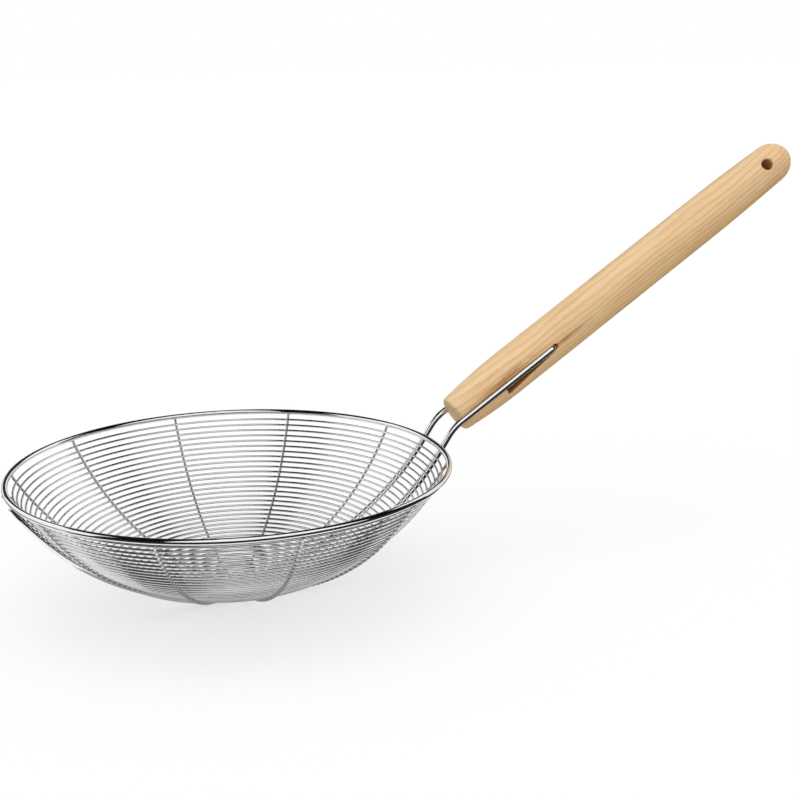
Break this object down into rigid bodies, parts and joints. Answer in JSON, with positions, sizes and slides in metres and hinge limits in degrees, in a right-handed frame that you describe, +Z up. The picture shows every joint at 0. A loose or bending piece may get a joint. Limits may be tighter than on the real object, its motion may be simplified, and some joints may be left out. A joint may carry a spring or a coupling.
{
  "type": "spider skimmer",
  "caption": "Wire spider skimmer: a bowl of concentric steel rings on ribs and a hairpin handle wire, with a turned wooden handle and a hang hole.",
  "frame": {"origin": "middle of the rim ring, on the plane of its wire's centre line", "axes": "+Z up out of the basket's mouth, +X from the basket towards the handle, +Y to the left of the handle"},
  "size_m": [0.4819, 0.24, 0.2303],
  "materials": {
    "polished_steel": "bright drawn stainless wire",
    "wood": "sanded pale wood, lightly oiled"
  },
  "bodies": {
    "root": {"handle_wire": "polished_steel", "mesh_ring_01": "polished_steel", "mesh_ring_02": "polished_steel", "mesh_ring_03": "polished_steel", "mesh_ring_04": "polished_steel", "mesh_ring_05": "polished_steel", "mesh_ring_06": "polished_steel", "mesh_ring_07": "polished_steel", "mesh_ring_08": "polished_steel", "mesh_ring_09": "polished_steel", "mesh_ring_10": "polished_steel", "mesh_ring_11": "polished_steel", "mesh_ring_12": "polished_steel", "mesh_ring_13": "polished_steel", "mesh_ring_14": "polished_steel", "mesh_ring_15": "polished_steel", "mesh_ring_16": "polished_steel", "mesh_ring_17": "polished_steel", "mesh_ring_18": "polished_steel", "mesh_ring_19": "polished_steel", "mesh_ring_20": "polished_steel", "mesh_ring_21": "polished_steel", "mesh_ring_22": "polished_steel", "mesh_ring_23": "polished_steel", "mesh_ring_24": "polished_steel", "mesh_ring_25": "polished_steel", "mesh_ring_26": "polished_steel", "mesh_ring_27": "polished_steel", "mesh_ring_28": "polished_steel", "mesh_ring_29": "polished_steel", "mesh_ring_30": "polished_steel", "mesh_ring_31": "polished_steel", "mesh_ring_32": "polished_steel", "mesh_ring_33": "polished_steel", "mesh_ring_34": "polished_steel", "mesh_ring_35": "polished_steel", "mesh_ring_36": "polished_steel", "mesh_ring_37": "polished_steel", "mesh_ring_38": "polished_steel", "rib_01": "polished_steel", "rib_02": "polished_steel", "rib_03": "polished_steel", "rib_04": "polished_steel", "rib_05": "polished_steel", "rib_06": "polished_steel", "rib_07": "polished_steel", "rib_08": "polished_steel", "rib_09": "polished_steel", "rib_10": "polished_steel", "rim_ring": "polished_steel", "wooden_handle": "wood"}
  },
  "joints": []
}
